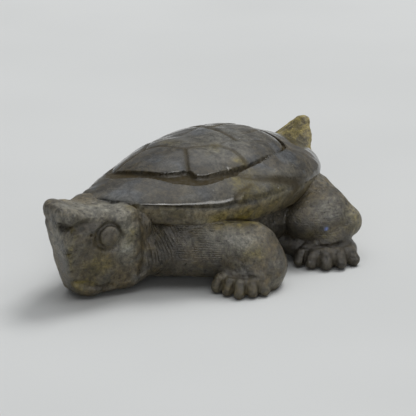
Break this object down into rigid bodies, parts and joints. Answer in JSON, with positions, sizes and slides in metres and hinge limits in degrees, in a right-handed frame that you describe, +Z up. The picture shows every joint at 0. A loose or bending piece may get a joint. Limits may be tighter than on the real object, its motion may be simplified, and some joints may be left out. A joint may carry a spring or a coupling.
{
  "type": "turtle figurine",
  "caption": "Hand-carved polished stone turtle ornament that stands on its flat soles, with a domed plated shell, blocky head, splayed legs and raised tail.",
  "frame": {"origin": "on the ground under the soles, at the middle of the bounding box in X and Y", "axes": "+Z up, -Y out of the nose, +Y out of the tail, +X to the turtle's own left side"},
  "size_m": [0.0604, 0.0768, 0.0266],
  "materials": {
    "polished_shell_stone": "polished, with fine brown veins and a blue-grey sheen",
    "honed_stone": "honed, with fine tool lines",
    "rough_olive_stone": "matte"
  },
  "bodies": {
    "root": {"carapace": "polished_shell_stone", "body": "honed_stone", "head": "honed_stone", "neck": "honed_stone", "front_leg_left": "honed_stone", "front_leg_right": "honed_stone", "rear_leg_left": "honed_stone", "rear_leg_right": "honed_stone", "tail": "rough_olive_stone"}
  },
  "joints": []
}
